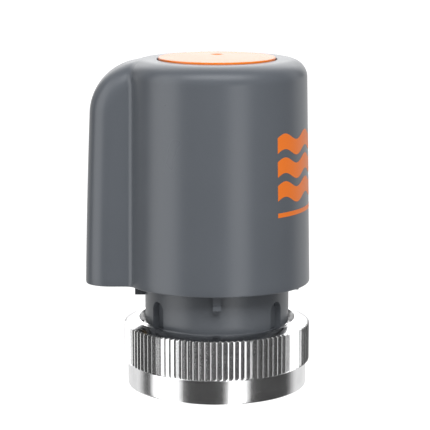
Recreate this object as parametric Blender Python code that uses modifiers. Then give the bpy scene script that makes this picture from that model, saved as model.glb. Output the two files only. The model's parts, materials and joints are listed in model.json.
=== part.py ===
"""Motorised valve actuator head with an M30 x 1.5 union nut.

Frame: +Z points up along the spindle and the origin is the centre of the plunger's pressing
face at rest. The fin is at -X. Lengths are named in millimetres and turned into metres by MM.

Drive: motor pinion -> stage gear 1 -> stage gear 2 -> output gear. The output gear's hub is the
nut of the spindle, which can't turn, so it lifts the plunger and the indicator disc.
"""
import math

import bmesh
import bpy
from mathutils import Matrix, Vector

MM = 0.001
PARTS = "actuator_head"
CUTTERS = "cutters"
GAP = 0.3                    # clearance between neighbouring pieces
ROUND_STEPS = 48             # facets round the large turned pieces

# Heights of the outside, from the plunger's pressing face
NUT_BOTTOM = -12.0
NUT_RIM = 1.72
NECK_BOTTOM = 1.0
LUG_BOTTOM = 6.55
LUG_STEP = 7.8
FIN_BOTTOM = 9.69
SHELL_BOTTOM = 10.04
FIN_TOP = 55.1
SHELL_TOP = 55.3
DISC_TOP = 55.65

# Radii of the outside
SKIRT_R = 18.39
KNURL_R = 19.1
NUT_RIM_R = 16.1
NECK_R = 14.8
SHELL_BOTTOM_R = 19.1
SHELL_TOP_R = 18.31
SHOULDER_R = 3.6
SHELL_WALL = 1.6
DISC_R = 11.88
LUG_R = 16.9
LUG_WIDTH = 1.83
LUG_INNER_R = 13.9           # how far the lugs run into the neck's wall

# The knurl of the union nut
KNURL_TEETH = 100
KNURL_ROOT_R = 18.78
KNURL_INNER_R = 17.2
KNURL_ROOT = (-7.06, 1.33)   # heights between which the grooves run
KNURL_CREST = (-6.75, 0.9)   # heights between which the teeth are whole
CREST_SHARE = 0.22           # share of the pitch that is flat on top of a tooth
ROOT_SHARE = 0.25

# The indicator disc and its well in the shell
DISC_STROKE = 4.0
DISC_EDGE = 0.35
DISC_WALL = 1.2
DISC_THICKNESS = 1.5
DISC_STEM_R = 3.2
DISC_STEM_BORE_R = 2.56
DISC_STEM_BOTTOM = 47.0
DIMPLE_R = 1.3
DIMPLE_DEPTH = 0.4
DIMPLE_OFFSET = 7.9
WELL_WALL = 1.2
WELL_BOTTOM = 50.6

# The arched slots of the neck
SLOT_HALF_WIDTH = 1.75
SLOT_DEPTH = 0.7
SLOT_TOP = 6.7
SLOT_FOOT = -4.0
SLOT_ANGLES = (math.radians(36), math.radians(144), math.radians(-36), math.radians(-144))

# The fin
FIN_REACH = 27.0
FIN_DRAFT = ((26.65, 23.0), (26.25, 34.0))   # how far the edge reaches at two heights
FIN_BEND_R = 11.0
FIN_BEND_CENTRE = (-14.85, FIN_TOP - FIN_BEND_R)
FIN_HALF_WIDTH = 7.45
FIN_CORNER = 3.2
FIN_WALL = 1.6

# Interface to the valve: M30 x 1.5, bored at the thread's minor radius
THREAD_BORE_R = 14.2
LIP_TOP = -0.3
LIP_BOTTOM = -2.3
SPIGOT_R = 12.6
SPIGOT_BORE_R = 10.6
SPIGOT_BOTTOM = -4.6
NECK_BORE_R = 12.6
NECK_EDGE = 0.8
GROOVE_R = 11.8
GROOVE = (-3.8, -2.4)
RING_R = (12.1, 13.9)
RING = (-3.5, -2.7)
RING_HALF_OPENING = 28       # degrees

# Gear train
MODULE = 0.4
PRESSURE_ANGLE = math.radians(20)
BACKLASH = 0.12
CENTRE_EXTRA = 0.06
WHEEL_ADDENDUM = 0.8
PINION_ADDENDUM = 0.9
DEDENDUM = 1.2
PINION_TEETH = 10
WHEEL_1_TEETH = 32
WHEEL_2_TEETH = 26
PINION_2_TEETH = 12
OUTPUT_TEETH = 40
MOTOR_RADIUS = 9.4           # distance of the motor's axis from the spindle
GEAR_1_RADIUS = 9.9
MOTOR_ANGLE = math.radians(-60)

# Levels of the inside
PLATE_BOTTOM = 10.4
PLATE_TOP = 13.4
LOWER_PLATE = (13.7, 15.2)
WASHER = (15.5, 16.1)
OUTPUT_RIM = (16.4, 19.4)
OUTPUT_HUB = (16.4, 22.7)
PINION_2 = (15.9, 20.1)
WHEEL_2 = (19.9, 22.4)
PINION_1 = (19.7, 23.2)
WHEEL_1 = (23.1, 25.6)
MOTOR_PINION = (22.9, 25.8)
UPPER_PLATE = (26.2, 27.7)
CUP_TOP = 34.0
MOTOR_CAN = (28.0, 43.0)
SHAFT = (22.6, 42.9)
COIL = (29.6, 40.0)
COIL_R = (4.2, 5.6)
ROTOR = (29.4, 40.2)
ROTOR_R = (1.05, 3.8)
END_CAP = (41.6, 44.2)

# The boss in the base that guides the plunger
WEB = (5.0, 7.0)
BOSS_R = 7.8
BOSS = (0.8, 8.2)
BOSS_FLOOR = 1.4
BOSS_MOUTH_R = 4.4
BORE_R = 6.2
BUSH_FLANGE_R = 7.4
BUSH = (3.2, 9.4)
SEAL_R = 5.15
SEAL_SECTION_R = 0.6
SEAL_HEIGHT = 2.3

# The plunger and the spindle
PLUNGER_R = 4.0
PLUNGER_BORE_R = 3.1
PLUNGER_TOP = 9.0
PLUNGER_FLOOR = 1.6
PLUNGER_SLOT = (5.4, 8.2)
CROSS_PIN_R = 0.55
CROSS_PIN_BORE_R = 0.85
CROSS_PIN_HALF = 3.8
CROSS_PIN_HEIGHT = 7.3
THREAD_R = 2.7
SPINDLE_BOTTOM = 5.6
SPINDLE_THREAD_TOP = 21.6
SPINDLE_TOP = 53.5
SPINDLE_SQUARE = 3.2

# The gear box and the motor
HUB_R = 4.5
HUB_BORE_R = 3.0
AXLE_R = 0.75
AXLE_BORE_R = 1.05
AXLE_FLOOR = 0.4             # what a gear plate keeps under a blind axle hole
PLATE_R = 15.4
PLATE_BORE_R = 4.4
CUP_R = 7.4
BEARING_HOLE_R = 2.6
CAN_R = 6.5
CAN_BORE_R = 5.9
PILLAR_RADIUS = 14.2
PILLAR_ANGLES = (math.radians(95), math.radians(180), math.radians(-125))
PILLAR_R = 1.9
SCREW_R = 0.8
SCREW_BORE_R = 1.1
SCREW_HEAD_R = 1.6
SCREW_HEAD = 1.1             # height of the head
SCREW_BOTTOM = 11.0

# Electronics, standing in the fin
BOARD = ((-18.6, -17.4), (-5.3, 5.3), (20.0, 44.0))
SOCKET = ((-23.9, -18.5), (-4.4, 4.4), (9.99, 17.0))
SOCKET_WALL = 0.8
CONTACT_SPACING = 2.8
CONTACT_R = 0.4
CONTACT_BORE_R = 0.7
LEAD_R = 0.35


# ---------------------------------------------------------------- helpers

def clear_scene():
    for obj in list(bpy.data.objects):
        bpy.data.objects.remove(obj, do_unlink=True)


def collection(name):
    found = bpy.data.collections.get(name)
    if found is None:
        found = bpy.data.collections.new(name)
        bpy.context.scene.collection.children.link(found)
    return found


def material(name, color, roughness, metallic=0.0):
    mat = bpy.data.materials.get(name)
    if mat is None:
        mat = bpy.data.materials.new(name)
        mat.use_nodes = True
        shader = mat.node_tree.nodes["Principled BSDF"]
        shader.inputs["Base Color"].default_value = (*color, 1.0)
        shader.inputs["Roughness"].default_value = roughness
        shader.inputs["Metallic"].default_value = metallic
    return mat


def grey_plastic():
    return material("grey_plastic", (0.115, 0.13, 0.15), 0.45)


def orange_plastic():
    return material("orange_plastic", (0.9, 0.22, 0.02), 0.35)


def black_plastic():
    return material("black_plastic", (0.02, 0.02, 0.022), 0.5)


def white_plastic():
    return material("white_plastic", (0.8, 0.79, 0.75), 0.4)


def nickel():
    return material("nickel", (0.75, 0.74, 0.72), 0.2, 1.0)


def steel():
    return material("steel", (0.55, 0.55, 0.56), 0.3, 1.0)


def brass():
    return material("brass", (0.78, 0.57, 0.25), 0.3, 1.0)


def rubber():
    return material("rubber", (0.03, 0.03, 0.03), 0.7)


def board_green():
    return material("board_green", (0.02, 0.18, 0.07), 0.4)


def copper():
    return material("copper", (0.8, 0.35, 0.18), 0.35, 1.0)


def place(name, mesh, mat, location=(0, 0, 0), group=PARTS):
    """An object for a mesh, placed at a location in millimetres."""
    obj = bpy.data.objects.new(name, mesh)
    obj.location = Vector(location) * MM
    if mat is not None:
        mesh.materials.append(mat)
    collection(group).objects.link(obj)
    if group == CUTTERS:
        obj.hide_render = True
        obj.display_type = "WIRE"
    return obj


def turned(name, profile, mat, steps=48, closed=True, location=(0, 0, 0), group=PARTS):
    """Turn a profile of (radius, height) about Z. A profile that isn't closed starts and ends on the axis."""
    mesh = bpy.data.meshes.new(name)
    verts = [(radius * MM, 0.0, height * MM) for radius, height in profile]
    edges = [(i, i + 1) for i in range(len(verts) - 1)]
    if closed:
        edges.append((len(verts) - 1, 0))
    mesh.from_pydata(verts, edges, [])
    obj = place(name, mesh, mat, location, group)
    screw = obj.modifiers.new("Turn", "SCREW")
    screw.angle = 2 * math.pi
    screw.steps = steps
    screw.render_steps = steps
    screw.use_merge_vertices = True
    screw.merge_threshold = 1e-6
    screw.use_smooth_shade = True
    return obj


def arc(centre, radius, start_deg, end_deg, count):
    """Points of an arc in a profile or an outline."""
    points = []
    for i in range(count + 1):
        angle = math.radians(start_deg + (end_deg - start_deg) * i / count)
        points.append((centre[0] + radius * math.cos(angle), centre[1] + radius * math.sin(angle)))
    return points


def cylinder(name, radius, bottom, top, mat, at=(0, 0), steps=24, group=PARTS):
    mesh = bpy.data.meshes.new(name)
    bm = bmesh.new()
    bmesh.ops.create_cone(
        bm, cap_ends=True, segments=steps, radius1=radius * MM, radius2=radius * MM, depth=(top - bottom) * MM)
    bm.to_mesh(mesh)
    bm.free()
    mesh.shade_smooth()
    mesh.set_sharp_from_angle(angle=math.radians(40))
    return place(name, mesh, mat, (at[0], at[1], (bottom + top) / 2), group)


def box(name, spans, mat, group=PARTS, bevel=0.0, turn=0.0):
    """A box from its (low, high) spans along X, Y and Z, turned about Z in the frame's origin."""
    mesh = bpy.data.meshes.new(name)
    size = [(high - low) * MM for low, high in spans]
    middle = Vector([(low + high) / 2 for low, high in spans])
    bm = bmesh.new()
    bmesh.ops.create_cube(bm, size=1.0)
    bmesh.ops.scale(bm, vec=size, verts=bm.verts)
    bm.to_mesh(mesh)
    bm.free()
    spin = Matrix.Rotation(turn, 3, "Z")
    obj = place(name, mesh, mat, spin @ middle, group)
    obj.rotation_euler = (0, 0, turn)
    if bevel:
        edge = obj.modifiers.new("Edges", "BEVEL")
        edge.width = bevel * MM
        edge.segments = 2
    return obj


def curve_to_mesh(guide, name, mat, group=PARTS):
    """Replace a curve object by a closed mesh object in the same place."""
    bpy.context.view_layer.update()
    depsgraph = bpy.context.evaluated_depsgraph_get()
    mesh = bpy.data.meshes.new_from_object(guide.evaluated_get(depsgraph))
    mesh.transform(guide.matrix_world)
    bm = bmesh.new()
    bm.from_mesh(mesh)
    bmesh.ops.remove_doubles(bm, verts=bm.verts, dist=1e-6)
    bmesh.ops.recalc_face_normals(bm, faces=bm.faces)
    bm.to_mesh(mesh)
    bm.free()
    mesh.name = name
    mesh.materials.clear()
    mesh.set_sharp_from_angle(angle=math.radians(30))
    bpy.data.objects.remove(guide, do_unlink=True)
    return place(name, mesh, mat, group=group)


def outline_solid(name, loops, bottom, top, mat, at=(0, 0), group=PARTS):
    """A flat piece from closed outlines in millimetres; a loop inside another is a hole."""
    curve = bpy.data.curves.new(name, "CURVE")
    curve.dimensions = "2D"
    curve.fill_mode = "BOTH"
    curve.extrude = (top - bottom) / 2
    for loop in loops:
        spline = curve.splines.new("POLY")
        spline.points.add(len(loop) - 1)
        for point, (x, y) in zip(spline.points, loop):
            point.co = (x, y, 0.0, 1.0)
        spline.use_cyclic_u = True
    guide = bpy.data.objects.new(name + "_outline", curve)
    guide.scale = (MM, MM, MM)
    guide.location = Vector((at[0], at[1], (bottom + top) / 2)) * MM
    collection(PARTS).objects.link(guide)
    return curve_to_mesh(guide, name, mat, group)


def wire(name, points, radius, mat):
    """A round wire along points in millimetres."""
    curve = bpy.data.curves.new(name, "CURVE")
    curve.dimensions = "3D"
    curve.bevel_depth = radius * MM
    curve.bevel_resolution = 2
    curve.use_fill_caps = True
    spline = curve.splines.new("POLY")
    spline.points.add(len(points) - 1)
    for point, where in zip(spline.points, points):
        point.co = (*(Vector(where) * MM), 1.0)
    guide = bpy.data.objects.new(name + "_path", curve)
    collection(PARTS).objects.link(guide)
    return curve_to_mesh(guide, name, mat)


def boolean(target, tool, operation="DIFFERENCE"):
    modifier = target.modifiers.new(operation.title() + " " + tool.name, "BOOLEAN")
    modifier.operation = operation
    modifier.object = tool
    modifier.solver = "EXACT"


def drill(target, radius, bottom, top, at=(0, 0), steps=24):
    """Cut a round hole along Z."""
    tool = cylinder(target.name + "_hole", radius, bottom, top, None, at, steps, CUTTERS)
    boolean(target, tool)


def polar(radius, angle):
    return (radius * math.cos(angle), radius * math.sin(angle))


# ---------------------------------------------------------------- gears

def pitch_radius(teeth):
    return MODULE * teeth / 2


def centre_distance(teeth_a, teeth_b):
    return pitch_radius(teeth_a) + pitch_radius(teeth_b) + CENTRE_EXTRA


def angle_between(radius_a, radius_b, distance):
    """Angle at the spindle between two axes at given radii and a given distance apart."""
    return math.acos((radius_a ** 2 + radius_b ** 2 - distance ** 2) / (2 * radius_a * radius_b))


GEAR_2_RADIUS = centre_distance(PINION_2_TEETH, OUTPUT_TEETH)
GEAR_1_ANGLE = MOTOR_ANGLE + angle_between(
    MOTOR_RADIUS, GEAR_1_RADIUS, centre_distance(PINION_TEETH, WHEEL_1_TEETH))
GEAR_2_ANGLE = GEAR_1_ANGLE + angle_between(
    GEAR_1_RADIUS, GEAR_2_RADIUS, centre_distance(PINION_TEETH, WHEEL_2_TEETH))
MOTOR_AT = polar(MOTOR_RADIUS, MOTOR_ANGLE)
GEAR_1_AT = polar(GEAR_1_RADIUS, GEAR_1_ANGLE)
GEAR_2_AT = polar(GEAR_2_RADIUS, GEAR_2_ANGLE)


def involute(angle):
    return math.tan(angle) - angle


def gear_outline(teeth, phase, addendum):
    """Involute teeth, thinned by the backlash, with one tooth centred on the phase angle.

    A pinion's flank bends at its pitch circle; a wheel's flank is close to straight.
    """
    radius = pitch_radius(teeth)
    base = radius * math.cos(PRESSURE_ANGLE)
    half_tooth = (math.pi * MODULE / 2 - BACKLASH) / (2 * radius)

    def half_angle(at):
        return half_tooth + involute(PRESSURE_ANGLE) - involute(math.acos(base / max(at, base)))

    flank = [radius - DEDENDUM * MODULE, radius + addendum * MODULE]
    if teeth <= PINION_2_TEETH:
        flank.insert(1, radius)
    points = []
    for tooth in range(teeth):
        centre = phase + 2 * math.pi * tooth / teeth
        for at in flank:
            points.append(polar(at, centre - half_angle(at)))
        for at in reversed(flank):
            points.append(polar(at, centre + half_angle(at)))
    return points


def meshing_phase(from_at, to_at, from_phase, from_teeth, to_teeth):
    """Phase that puts a gap of the second gear opposite a tooth of the first."""
    direction = math.atan2(to_at[1] - from_at[1], to_at[0] - from_at[0])
    from_pitch = 2 * math.pi / from_teeth
    to_pitch = 2 * math.pi / to_teeth
    return direction + math.pi - to_pitch * (0.5 - (direction - from_phase) / from_pitch)


def compound_gear(name, at, wheel_teeth, wheel_phase, wheel_span, pinion_teeth, pinion_span, mat):
    """A wheel and a smaller pinion in one piece, bored for its axle."""
    gear = outline_solid(
        name, [gear_outline(wheel_teeth, wheel_phase, WHEEL_ADDENDUM)], *wheel_span, mat, at)
    pinion = outline_solid(
        name + "_pinion", [gear_outline(pinion_teeth, 0.0, PINION_ADDENDUM)], *pinion_span, None, at, CUTTERS)
    boolean(gear, pinion, "UNION")
    low = min(wheel_span[0], pinion_span[0])
    high = max(wheel_span[1], pinion_span[1])
    drill(gear, AXLE_BORE_R, low - 1, high + 1, at, 16)
    return gear


# ---------------------------------------------------------------- outside

def fin_side_outline(inset, bottom):
    """The fin's outline seen from the side, as (x, z), drawn in by the wall for its inside."""
    points = [(-6.0, bottom), (-FIN_REACH + inset, bottom)]
    points += [(-reach + inset, height) for reach, height in FIN_DRAFT]
    points += arc(FIN_BEND_CENTRE, FIN_BEND_R - inset, 180, 90, 10)
    points.append((-6.0, FIN_TOP - inset))
    return points


def fin_solid(name, inset, bottom, mat, group):
    """The fin as a solid: its side outline, narrowed to its width with rounded upright edges."""
    half = FIN_HALF_WIDTH - inset
    fin = outline_solid(name, [fin_side_outline(inset, bottom)], -half, half, mat, group=group)
    fin.data.transform(Matrix.Rotation(math.pi / 2, 4, "X"))
    corner = max(FIN_CORNER - inset, 0.8)
    reach = FIN_REACH - inset + 1
    plan = [(-5.0, -half), (-5.0, half)]
    plan += arc((-(FIN_REACH - inset) + corner, half - corner), corner, 90, 180, 5)
    plan += arc((-(FIN_REACH - inset) + corner, -half + corner), corner, 180, 270, 5)
    tool = outline_solid(name + "_plan", [plan], bottom - 1, SHELL_TOP + 2, None, group=CUTTERS)
    boolean(fin, tool, "INTERSECT")
    return fin


def shell_profile(inset, bottom):
    """Turned outline of the shell, with the draft of its wall and its rounded shoulder."""
    top = SHELL_TOP - inset
    corner = SHOULDER_R - inset * 0.6
    upper = SHELL_TOP_R - inset
    points = [(0.0, top)]
    points += arc((upper - corner, top - corner), corner, 90, 4, 5)
    points += [(SHELL_BOTTOM_R - inset, bottom), (0.0, bottom)]
    return points


def housing_shell():
    """Shell with its fin, hollow, open at the bottom, with the well for the indicator disc."""
    shell = turned("housing_shell", shell_profile(0.0, SHELL_BOTTOM), grey_plastic(), ROUND_STEPS, closed=False)
    boolean(shell, fin_solid("fin", 0.0, FIN_BOTTOM, None, CUTTERS), "UNION")
    inside = turned(
        "shell_inside", shell_profile(SHELL_WALL, SHELL_BOTTOM - 1), None, ROUND_STEPS, closed=False, group=CUTTERS)
    boolean(shell, inside)
    boolean(shell, fin_solid("fin_inside", FIN_WALL, FIN_BOTTOM - 1, None, CUTTERS))
    outer = DISC_R + GAP + WELL_WALL
    inner = DISC_R - 1
    joined = SHELL_TOP - SHELL_WALL / 2
    well = turned(
        "well", [(outer, joined), (outer, WELL_BOTTOM), (inner, WELL_BOTTOM), (inner, joined)],
        None, ROUND_STEPS, group=CUTTERS)
    boolean(shell, well, "UNION")
    drill(shell, DISC_R + GAP, WELL_BOTTOM - 1, SHELL_TOP + 1, steps=ROUND_STEPS)
    return shell


def indicator_disc():
    """Cap that rises with the spindle: a rim that stays in the well and a stem that holds the spindle's head."""
    rim_bottom = SHELL_TOP - DISC_STROKE - DISC_WALL
    underside = DISC_TOP - DISC_THICKNESS
    seat = underside - GAP
    profile = [(0.0, DISC_TOP)]
    profile += arc((DISC_R - DISC_EDGE, DISC_TOP - DISC_EDGE), DISC_EDGE, 90, 0, 2)
    profile += [(DISC_R, rim_bottom), (DISC_R - DISC_WALL, rim_bottom), (DISC_R - DISC_WALL, underside)]
    profile += [(DISC_STEM_R, underside), (DISC_STEM_R, DISC_STEM_BOTTOM), (DISC_STEM_BORE_R, DISC_STEM_BOTTOM)]
    profile += [(DISC_STEM_BORE_R, seat), (0.0, seat)]
    disc = turned("indicator_disc", profile, orange_plastic(), ROUND_STEPS, closed=False)
    dimple = cylinder("dimple", DIMPLE_R, DISC_TOP - DIMPLE_DEPTH, DISC_TOP + 1, None, (0.0, DIMPLE_OFFSET), 20, CUTTERS)
    boolean(disc, dimple)
    return disc


def base_profile():
    """Half section of the base: plate, neck, spigot and the web that carries the plunger's guide."""
    points = [(LUG_R - 0.15, PLATE_TOP), (LUG_R - 0.15, PLATE_BOTTOM), (NECK_R, PLATE_BOTTOM)]
    points += arc((NECK_R - NECK_EDGE, NECK_BOTTOM + NECK_EDGE), NECK_EDGE, 0, -90, 2)
    points += [(SPIGOT_R, NECK_BOTTOM), (SPIGOT_R, GROOVE[1]), (GROOVE_R, GROOVE[1])]
    points += [(GROOVE_R, GROOVE[0]), (SPIGOT_R, GROOVE[0]), (SPIGOT_R, SPIGOT_BOTTOM)]
    points += [(SPIGOT_BORE_R, SPIGOT_BOTTOM), (SPIGOT_BORE_R, WEB[0]), (BOSS_R, WEB[0]), (BOSS_R, BOSS[0])]
    points += [(BOSS_MOUTH_R, BOSS[0]), (BOSS_MOUTH_R, BOSS_FLOOR), (BORE_R, BOSS_FLOOR), (BORE_R, BOSS[1])]
    points += [(BOSS_R, BOSS[1]), (BOSS_R, WEB[1]), (NECK_BORE_R, WEB[1]), (NECK_BORE_R, PLATE_TOP)]
    return points


def base_housing():
    """Neck with lugs and arched slots, and the plate that closes the shell and the fin."""
    base = turned("base_housing", base_profile(), grey_plastic(), ROUND_STEPS)
    floor = box("fin_floor", ((-24.9, -14.0), (-5.2, 5.2), (PLATE_BOTTOM, PLATE_TOP)), None, CUTTERS)
    boolean(base, floor, "UNION")
    for i in range(4):
        turn = i * math.pi / 2
        rib = box(
            "lug_rib", ((LUG_INNER_R, LUG_R), (-LUG_WIDTH / 2, LUG_WIDTH / 2), (LUG_STEP, PLATE_BOTTOM + 0.5)),
            None, CUTTERS, turn=turn)
        boolean(base, rib, "UNION")
        foot = box(
            "lug_foot", ((LUG_INNER_R, LUG_R + 0.12), (-LUG_WIDTH / 2, LUG_WIDTH / 2), (LUG_BOTTOM, LUG_STEP + 0.3)),
            None, CUTTERS, turn=turn)
        boolean(base, foot, "UNION")
    for angle in SLOT_ANGLES:
        arched_slot(base, angle)
    for angle in PILLAR_ANGLES:
        drill(base, SCREW_BORE_R, SCREW_BOTTOM, PLATE_TOP + 1, polar(PILLAR_RADIUS, angle), 12)
    opening = [(low - GAP, high + GAP) for low, high in SOCKET[:2]]
    boolean(base, box("socket_opening", (*opening, (PLATE_BOTTOM - 1, PLATE_TOP + 1)), None, CUTTERS))
    return base


def arched_slot(base, angle):
    """A shallow upright groove in the neck with a round top."""
    half = SLOT_HALF_WIDTH
    outline = [(-half, SLOT_FOOT), (half, SLOT_FOOT)] + arc((0.0, SLOT_TOP - half), half, 0, 180, 6)
    tool = outline_solid("arched_slot", [outline], NECK_R - SLOT_DEPTH, NECK_R + 2, None, group=CUTTERS)
    stand = Matrix.Rotation(angle, 4, "Z") @ Matrix(
        ((0, 0, 1, 0), (1, 0, 0, 0), (0, 1, 0, 0), (0, 0, 0, 1)))
    tool.data.transform(stand)
    boolean(base, tool)


def knurl_ring():
    """Straight knurl as a ring: teeth with flat crests and sloped flanks, cut back at both ends."""
    pitch = 2 * math.pi / KNURL_TEETH
    crest = pitch * CREST_SHARE / 2
    root = pitch * (1 - ROOT_SHARE) / 2
    verts = []
    for level in range(2):
        for tooth in range(KNURL_TEETH):
            for offset, radius, heights in (
                    (-root, KNURL_ROOT_R, KNURL_ROOT), (-crest, KNURL_R, KNURL_CREST),
                    (crest, KNURL_R, KNURL_CREST), (root, KNURL_ROOT_R, KNURL_ROOT),
                    (-root, KNURL_INNER_R, KNURL_ROOT), (root, KNURL_INNER_R, KNURL_ROOT)):
                x, y = polar(radius * MM, tooth * pitch + offset)
                verts.append((x, y, heights[level] * MM))
    per_level = 6 * KNURL_TEETH
    faces = []
    for tooth in range(KNURL_TEETH):
        root_a, crest_a, crest_b, root_b, inner_a, inner_b = range(6 * tooth, 6 * tooth + 6)
        next_root = 6 * ((tooth + 1) % KNURL_TEETH)
        next_inner = next_root + 4
        for low, high in (
                (root_a, crest_a), (crest_a, crest_b), (crest_b, root_b), (root_b, next_root),
                (inner_b, inner_a), (next_inner, inner_b)):
            faces.append((low, high, high + per_level, low + per_level))
        for cap in (
                (root_a, crest_a, crest_b, root_b), (inner_a, root_a, root_b, inner_b),
                (inner_b, root_b, next_root, next_inner)):
            faces.append(tuple(reversed(cap)))
            faces.append(tuple(corner + per_level for corner in cap))
    mesh = bpy.data.meshes.new("knurl")
    mesh.from_pydata(verts, [], faces)
    return place("knurl", mesh, None, group=CUTTERS)


def union_nut():
    """M30 x 1.5 union nut: plain skirt, knurled band, sloped top and the lip that lifts the ring."""
    bottom_edge = 0.25
    cone_drop = 0.45
    profile = [(NUT_RIM_R, NUT_RIM), (SKIRT_R, NUT_RIM - cone_drop)]
    profile += [(SKIRT_R, NUT_BOTTOM + bottom_edge), (SKIRT_R - bottom_edge, NUT_BOTTOM)]
    profile += [(THREAD_BORE_R + 1, NUT_BOTTOM), (THREAD_BORE_R, NUT_BOTTOM + 1)]
    profile += [(THREAD_BORE_R, LIP_BOTTOM), (SPIGOT_R + GAP, LIP_BOTTOM)]
    profile += [(SPIGOT_R + GAP, LIP_TOP), (NUT_RIM_R, LIP_TOP)]
    nut = turned("union_nut", profile, nickel(), ROUND_STEPS)
    boolean(nut, knurl_ring(), "UNION")
    return nut


def retaining_ring():
    """Open spring ring in the spigot's groove, under the nut's lip."""
    start = RING_HALF_OPENING
    end = 360 - RING_HALF_OPENING
    outline = arc((0, 0), RING_R[1], start, end, 24) + arc((0, 0), RING_R[0], end, start, 24)
    return outline_solid("retaining_ring", [outline], *RING, steel())


def seal_outline(radius, half_width, reach):
    """Outline that follows the inside of the shell and of its fin."""
    corner = 1.2
    meet = math.degrees(math.asin(half_width / radius))
    points = arc((0, 0), radius, 180 + meet, 540 - meet, 40)
    points += arc((-reach + corner, half_width - corner), corner, 90, 180, 3)
    points += arc((-reach + corner, -half_width + corner), corner, 180, 270, 3)
    return points


def base_seal():
    """Flat seal lying on the rim of the base and round the floor of the fin, inside the shell's wall."""
    loops = [seal_outline(17.1, 5.5, 24.9), seal_outline(16.45, 4.85, 24.25)]
    return outline_solid("base_seal", loops, PLATE_TOP + GAP, PLATE_TOP + 1.1, rubber())


# ---------------------------------------------------------------- plunger and spindle

def guide_bush():
    inner = PLUNGER_R + GAP
    outer = BORE_R - GAP
    flange = BOSS[1] + GAP
    profile = [(BUSH_FLANGE_R, BUSH[1]), (BUSH_FLANGE_R, flange), (outer, flange), (outer, BUSH[0])]
    profile += [(inner, BUSH[0]), (inner, BUSH[1])]
    return turned("guide_bush", profile, brass(), 32)


def plunger_seal():
    section = arc((SEAL_R, SEAL_HEIGHT), SEAL_SECTION_R, 0, -300, 5)
    return turned("plunger_seal", section, rubber(), 24)


def plunger():
    """Cup that presses the valve pin, with slots that let it give way on the cross pin."""
    edge = 0.4
    profile = [(0.0, PLUNGER_FLOOR), (PLUNGER_BORE_R, PLUNGER_FLOOR), (PLUNGER_BORE_R, PLUNGER_TOP)]
    profile.append((PLUNGER_R, PLUNGER_TOP))
    profile += [(PLUNGER_R, edge), (PLUNGER_R - edge, 0.0), (0.0, 0.0)]
    cup = turned("plunger", profile, steel(), 32, closed=False)
    slot = box("plunger_slot", ((-6, 6), (-0.9, 0.9), PLUNGER_SLOT), None, CUTTERS)
    boolean(cup, slot)
    return cup


def cross_pin():
    """Pin through the spindle that carries the plunger."""
    pin = cylinder("cross_pin", CROSS_PIN_R, -CROSS_PIN_HALF, CROSS_PIN_HALF, steel(), steps=12)
    pin.rotation_euler = (0, math.pi / 2, 0)
    pin.location = Vector((0, 0, CROSS_PIN_HEIGHT)) * MM
    return pin


def overload_spring():
    """Coil between the plunger's floor and the spindle's end, three turns with closed ends."""
    radius = 2.2
    thick = 0.3
    low = PLUNGER_FLOOR + GAP + thick
    high = SPINDLE_BOTTOM - GAP - thick
    turns = 3
    per_turn = 10
    count = turns * per_turn
    points = []
    for i in range(count + 1):
        angle = 2 * math.pi * i / per_turn
        points.append((radius * math.cos(angle), radius * math.sin(angle), low + (high - low) * i / count))
    return wire("overload_spring", points, thick, steel())


def spindle():
    """Threaded stem with a square upper part that keeps it from turning, bored for the cross pin."""
    profile = [(0.0, SPINDLE_THREAD_TOP), (THREAD_R - 0.5, SPINDLE_THREAD_TOP)]
    profile += [(THREAD_R, SPINDLE_THREAD_TOP - 0.5), (THREAD_R, SPINDLE_BOTTOM), (0.0, SPINDLE_BOTTOM)]
    stem = turned("spindle", profile, steel(), 24, closed=False)
    half = SPINDLE_SQUARE / 2
    square = box("spindle_square", ((-half, half), (-half, half), (SPINDLE_THREAD_TOP - 2, SPINDLE_TOP)), None, CUTTERS)
    boolean(stem, square, "UNION")
    bore = cylinder("pin_bore", CROSS_PIN_BORE_R, -5, 5, None, steps=12, group=CUTTERS)
    bore.rotation_euler = (0, math.pi / 2, 0)
    bore.location = Vector((0, 0, CROSS_PIN_HEIGHT)) * MM
    boolean(stem, bore)
    return stem


def thrust_washer():
    outer = 6.0
    inner = 3.4
    profile = [(outer, WASHER[1]), (outer, WASHER[0]), (inner, WASHER[0]), (inner, WASHER[1])]
    return turned("thrust_washer", profile, steel(), 32)


# ---------------------------------------------------------------- gear train

def output_gear(phase):
    """Output gear whose hub is the spindle's nut, bored at the thread's clearance radius."""
    gear = outline_solid("output_gear", [gear_outline(OUTPUT_TEETH, phase, WHEEL_ADDENDUM)], *OUTPUT_RIM, white_plastic())
    hub = cylinder("output_hub", HUB_R, OUTPUT_HUB[0], OUTPUT_HUB[1], None, steps=32, group=CUTTERS)
    boolean(gear, hub, "UNION")
    drill(gear, HUB_BORE_R, OUTPUT_HUB[0] - 1, OUTPUT_HUB[1] + 1, steps=24)
    return gear


def gear_train():
    """Gears in mesh, phased from the output gear back to the motor."""
    centre = (0.0, 0.0)
    output_phase = meshing_phase(GEAR_2_AT, centre, 0.0, PINION_2_TEETH, OUTPUT_TEETH)
    output_gear(output_phase)
    wheel_2_phase = meshing_phase(GEAR_1_AT, GEAR_2_AT, 0.0, PINION_TEETH, WHEEL_2_TEETH)
    compound_gear(
        "stage_gear_2", GEAR_2_AT, WHEEL_2_TEETH, wheel_2_phase, WHEEL_2, PINION_2_TEETH, PINION_2, white_plastic())
    wheel_1_phase = meshing_phase(MOTOR_AT, GEAR_1_AT, 0.0, PINION_TEETH, WHEEL_1_TEETH)
    compound_gear(
        "stage_gear_1", GEAR_1_AT, WHEEL_1_TEETH, wheel_1_phase, WHEEL_1, PINION_TEETH, PINION_1, white_plastic())
    pinion = outline_solid(
        "motor_pinion", [gear_outline(PINION_TEETH, 0.0, PINION_ADDENDUM)], *MOTOR_PINION, brass(), MOTOR_AT)
    drill(pinion, AXLE_BORE_R, MOTOR_PINION[0] - 1, MOTOR_PINION[1] + 1, MOTOR_AT, 16)


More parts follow.
